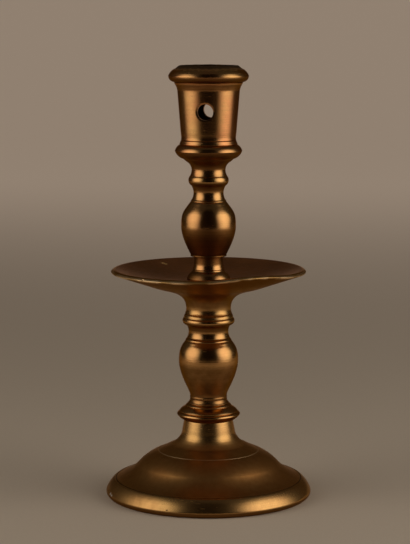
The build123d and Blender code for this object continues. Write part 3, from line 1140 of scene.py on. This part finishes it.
class CANDLESTICK_OT_stage(bpy.types.Operator):
    """Set the floor, the softboxes and the camera"""

    bl_idname = "candlestick.stage"
    bl_label = "Stage"

    def execute(self, context):
        stage = context.scene.candlestick_stage
        self.set_floor(stage)
        self.set_flag(stage)
        self.set_lamps(context.scene, stage)
        self.set_camera(context.scene, stage)
        return {"FINISHED"}

    def level(self, turn):
        """The level direction that is turned this far from the front."""
        return Vector((math.sin(turn), -math.cos(turn), 0))

    def set_floor(self, stage):
        """Lays a floor that curves up into a wall at the back."""
        bpy.ops.object.select_all(action="DESELECT")
        bpy.ops.mesh.primitive_plane_add(size=FLOOR_SIZE, location=(0, 0, -FLOOR_DROP))
        floor = bpy.context.object
        floor.name = "floor"
        bpy.ops.object.transform_apply(location=True, rotation=True, scale=True)
        points = points_of(floor.data)
        pick(floor.data, points[:, 1] > 0)
        bpy.ops.object.mode_set(mode="EDIT")
        bpy.ops.mesh.extrude_region_move(TRANSFORM_OT_translate={"value": (0, 0, WALL_HEIGHT)})
        bpy.ops.object.mode_set(mode="OBJECT")
        points = points_of(floor.data)
        pick(floor.data, (points[:, 1] > 0) & (points[:, 2] < 0))
        bpy.ops.object.mode_set(mode="EDIT")
        bpy.ops.mesh.bevel(offset=WALL_CURVE, segments=WALL_SEGMENTS, affect="EDGES")
        bpy.ops.object.mode_set(mode="OBJECT")
        bpy.ops.object.shade_smooth()
        floor.data.materials.append(self.pale_floor(stage))

    def pale_floor(self, stage):
        """Pale flecked paper, with a glow on the wall behind."""
        material, nodes = new_material("pale_floor")
        place = nodes.place()
        fleck = nodes.noise(place, 900.0, detail=4.0, roughness=0.6)
        shade = nodes.step(fleck, 0.3, 0.7, 0.96, 1.0)
        base = nodes.mix(shade, (0, 0, 0, 1), rgba(stage.floor_colour))
        shader = nodes.add("ShaderNodeBsdfPrincipled", {"Base Color": base, "Roughness": 0.85})
        rays = nodes.add("ShaderNodeLightPath").outputs
        seen = nodes.math("ADD", rays["Is Camera Ray"], rays["Is Glossy Ray"])
        seen = nodes.math("MINIMUM", nodes.math("ADD", seen, rays["Is Transmission Ray"]), 1.0)
        split = nodes.add("ShaderNodeSeparateXYZ", {0: place}).outputs
        across = (math.cos(stage.azimuth), math.sin(stage.azimuth), 0)
        aside = nodes.add("ShaderNodeVectorMath", {0: place, 1: across}, operation="DOT_PRODUCT")
        aside = nodes.math("ABSOLUTE", aside.outputs["Value"])
        far = nodes.step(split["Y"], *GLOW_BACK)
        far = nodes.math("MULTIPLY", far, nodes.step(aside, *GLOW_SIDE, 1.0, 0.0))
        far = nodes.math("MULTIPLY", far, nodes.step(split["Z"], *GLOW_TOP, 1.0, 0.0))
        glow = nodes.add(
            "ShaderNodeEmission",
            {"Color": rgba(stage.backdrop_glow), "Strength": nodes.math("MULTIPLY", far, seen)},
        )
        both = nodes.add("ShaderNodeAddShader", {0: shader.outputs[0], 1: glow.outputs[0]})
        nodes.add("ShaderNodeOutputMaterial", {"Surface": both.outputs[0]})
        return material

    def set_flag(self, stage):
        """Hangs a black cloth before the object, which only its reflections show."""
        width, height = stage.flag_size
        out = self.level(stage.azimuth)
        bpy.ops.mesh.primitive_plane_add(
            size=1,
            location=out * stage.flag_distance + Vector((0, 0, height / 2)),
            rotation=(math.pi / 2, 0, stage.azimuth),
        )
        flag = bpy.context.object
        flag.name = "front_flag"
        flag.scale = (width, height, 1)
        bpy.ops.object.transform_apply(location=True, rotation=True, scale=True)
        for way in ("camera", "diffuse", "shadow", "transmission"):
            setattr(flag, f"visible_{way}", False)
        material, nodes = new_material("black_cloth")
        weave = nodes.noise(nodes.place(), 1200.0)
        base = nodes.mix(weave, (0.004, 0.003, 0.003, 1), (0.012, 0.01, 0.009, 1))
        surface(nodes, base, 0.95, 0.0)
        flag.data.materials.append(material)

    def set_lamps(self, scene, stage):
        """Stands a softbox on each side, in a dim room."""
        width, height = stage.softbox_size
        for side, name in ((-1, "left_softbox"), (1, "right_softbox")):
            around = stage.azimuth + side * stage.softbox_turn
            out = self.level(around)
            place = out * stage.softbox_distance + Vector((0, 0, stage.softbox_height))
            bpy.ops.object.light_add(type="AREA", location=place)
            lamp = bpy.context.object
            lamp.name = name
            lamp.rotation_euler = (-out).to_track_quat("-Z", "Y").to_euler()
            lamp.data.shape = "ELLIPSE"
            lamp.data.size = width
            lamp.data.size_y = height
            lamp.data.energy = stage.softbox_power * (1 + side * stage.softbox_balance)
            lamp.data.color = stage.lamp_colour
            lamp.visible_camera = False
            self.soften(lamp.data)
        world = bpy.data.worlds.new("dim_room")
        world.use_nodes = True
        world.node_tree.nodes["Background"].inputs["Color"].default_value = rgba(stage.room)
        scene.world = world
        scene.view_settings.view_transform = "Standard"

    def soften(self, light):
        """Lets a softbox fade from its middle out to its edge."""
        light.use_nodes = True
        nodes = Nodes(light.node_tree)
        place = nodes.add("ShaderNodeNewGeometry").outputs["Parametric"]
        middle = (0.5, 0.5, 0)
        out = nodes.add("ShaderNodeVectorMath", {0: place, 1: middle}, operation="DISTANCE")
        glow = nodes.step(out.outputs["Value"], 0.48, 0.1)
        glow = nodes.add("ShaderNodeEmission", {"Strength": glow})
        nodes.add("ShaderNodeOutputLight", {"Surface": glow.outputs[0]})

    def set_camera(self, scene, stage):
        """Stands the camera where the photograph was taken from."""
        aim = Vector(stage.aim)
        back = self.level(stage.azimuth) * math.cos(stage.pitch)
        back.z = math.sin(stage.pitch)
        bpy.ops.object.camera_add(location=aim + back * stage.distance)
        camera = bpy.context.object
        camera.rotation_euler = (-back).to_track_quat("-Z", "Y").to_euler()
        camera.data.lens = stage.lens
        scene.camera = camera


OPERATORS = (
    CANDLESTICK_OT_foot,
    CANDLESTICK_OT_lower_stem,
    CANDLESTICK_OT_drip_pan,
    CANDLESTICK_OT_upper_stem,
    CANDLESTICK_OT_socket,
    CANDLESTICK_OT_fixings,
    CANDLESTICK_OT_stage,
)


class CANDLESTICK_PT_pieces(bpy.types.Panel):
    """Pieces of the candlestick and its stage"""

    bl_idname = "CANDLESTICK_PT_pieces"
    bl_label = "Candlestick"
    bl_space_type = "VIEW_3D"
    bl_region_type = "UI"
    bl_category = "Candlestick"

    def draw(self, context):
        for operator in OPERATORS:
            self.layout.operator(operator.bl_idname)


SETTINGS = {
    "candlestick_turning": TurningSettings,
    "candlestick_brass": BrassSettings,
    "candlestick_stage": StageSettings,
}
CLASSES = (*SETTINGS.values(), *OPERATORS, CANDLESTICK_PT_pieces)


def register():
    for each in CLASSES:
        bpy.utils.register_class(each)
    for name, group in SETTINGS.items():
        setattr(bpy.types.Scene, name, bpy.props.PointerProperty(type=group))


def unregister():
    for name in SETTINGS:
        delattr(bpy.types.Scene, name)
    for each in reversed(CLASSES):
        bpy.utils.unregister_class(each)


def main():
    register()
    bpy.ops.candlestick.foot()
    bpy.ops.candlestick.lower_stem()
    bpy.ops.candlestick.drip_pan()
    bpy.ops.candlestick.upper_stem()
    bpy.ops.candlestick.socket()
    bpy.ops.candlestick.fixings()
    bpy.ops.candlestick.stage()


if __name__ == "__main__":
    main()
